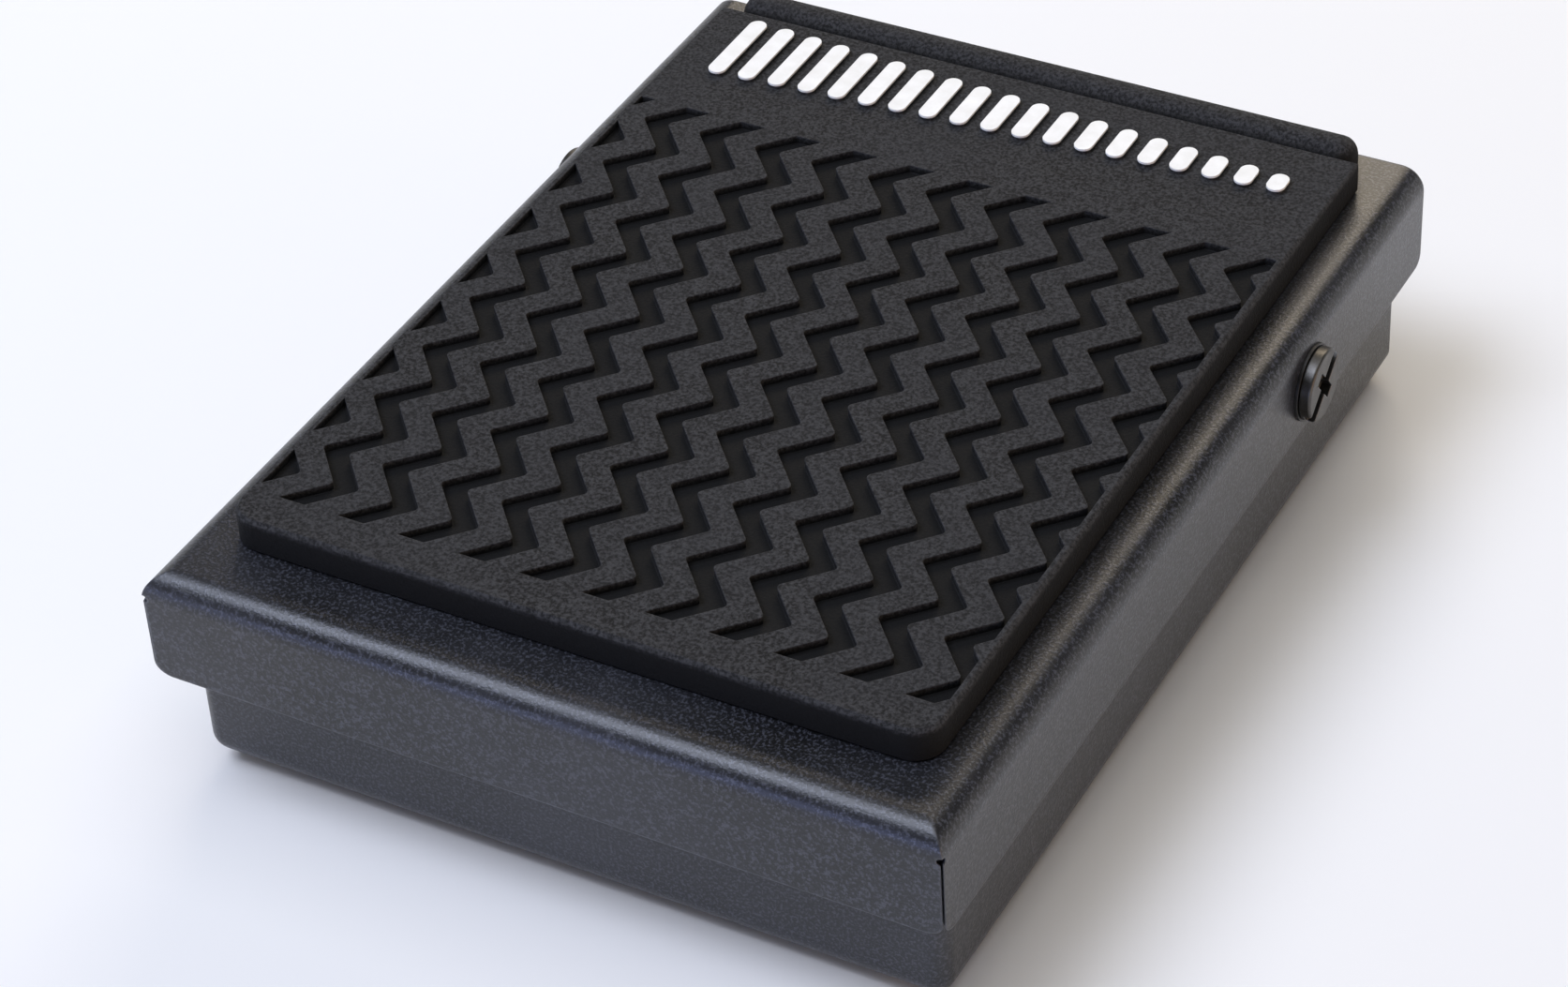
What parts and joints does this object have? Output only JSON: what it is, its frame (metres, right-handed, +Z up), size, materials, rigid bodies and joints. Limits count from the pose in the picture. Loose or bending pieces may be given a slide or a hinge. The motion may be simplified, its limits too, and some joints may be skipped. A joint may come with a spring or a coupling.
{
  "type": "sustain pedal",
  "caption": "Compact metal sustain pedal: hinged treadle with zigzag rubber tread over a narrower steel tray, side pivot screws, springs and a momentary switch inside.",
  "frame": {"origin": "on the floor under the middle of the pedal", "axes": "+Z up, +X to the player's right, -Y the end the foot presses, +Y the rear with the lead inlet"},
  "size_m": [0.0752, 0.096, 0.0252],
  "materials": {
    "shell_paint": "satin black powder coat",
    "tray_paint": "satin black powder coat",
    "tread_rubber": "moulded matt black rubber",
    "sole_rubber": "matt black rubber sheet",
    "stop_rubber": "moulded black rubber",
    "grommet_rubber": "moulded black rubber",
    "badge_paint": "screen-printed white",
    "adhesive_film": "translucent film",
    "screw_steel": "black oxide",
    "bush_nylon": "moulded black nylon",
    "zinc_steel": "zinc plated",
    "bright_steel": "bright spring steel",
    "spring_steel": "drawn spring wire",
    "brass_parts": "turned brass",
    "tinned_terminals": "tinned",
    "board_laminate": "solder mask",
    "switch_plastic": "moulded black plastic",
    "plunger_plastic": "moulded red plastic",
    "moulded_nylon": "natural nylon"
  },
  "bodies": {
    "base": {"base_tray": "tray_paint", "board_screws": "zinc_steel", "board_standoffs": "brass_parts", "cable_grommet": "grommet_rubber", "circuit_board": "board_laminate", "lever_pin": "bright_steel", "pivot_nut_left": "zinc_steel", "pivot_nut_right": "zinc_steel", "pivot_screw_left": "screw_steel", "pivot_screw_right": "screw_steel", "rear_plate": "tray_paint", "rear_stop_strip": "stop_rubber", "return_spring_left": "spring_steel", "return_spring_right": "spring_steel", "rubber_sole": "sole_rubber", "spacer_washer_left": "zinc_steel", "spacer_washer_right": "zinc_steel", "spring_guide_left": "zinc_steel", "spring_guide_right": "zinc_steel", "stop_bumper_left": "stop_rubber", "stop_bumper_right": "stop_rubber", "switch_case": "switch_plastic", "switch_terminals": "tinned_terminals"},
    "treadle": {"actuator_stem": "moulded_nylon", "badge_bars": "badge_paint", "pad_adhesive": "adhesive_film", "pivot_bush_left": "bush_nylon", "pivot_bush_right": "bush_nylon", "spring_cup_left": "zinc_steel", "spring_cup_right": "zinc_steel", "top_shell": "shell_paint", "tread_pad": "tread_rubber"},
    "lever": {"switch_lever": "bright_steel"},
    "plunger": {"switch_plunger": "plunger_plastic"}
  },
  "joints": [
    {"name": "treadle_hinge", "type": "hinge", "parent": "base", "child": "treadle", "pos_m": [0, 0.0221, 0.0159], "axis": [1, 0, 0], "range_deg": [0, 4], "stiffness_Nm_per_rad": 5.4, "springref_deg": -4.47, "deforming": ["return_spring_left", "return_spring_right"]},
    {"name": "lever_hinge", "type": "hinge", "parent": "base", "child": "lever", "pos_m": [0, -0.0205, 0.0136], "axis": [1, 0, 0], "range_deg": [-9.8, 0]},
    {"name": "plunger_slide", "type": "slide", "parent": "base", "child": "plunger", "axis": [0, 0, -1], "range_m": [0, 0.00065]}
  ],
  "couplings": [
    {"joint": "lever_hinge", "follows": "treadle_hinge", "ratio": -2.408},
    {"joint": "plunger_slide", "follows": "treadle_hinge", "m_per_rad": 0.0086}
  ]
}
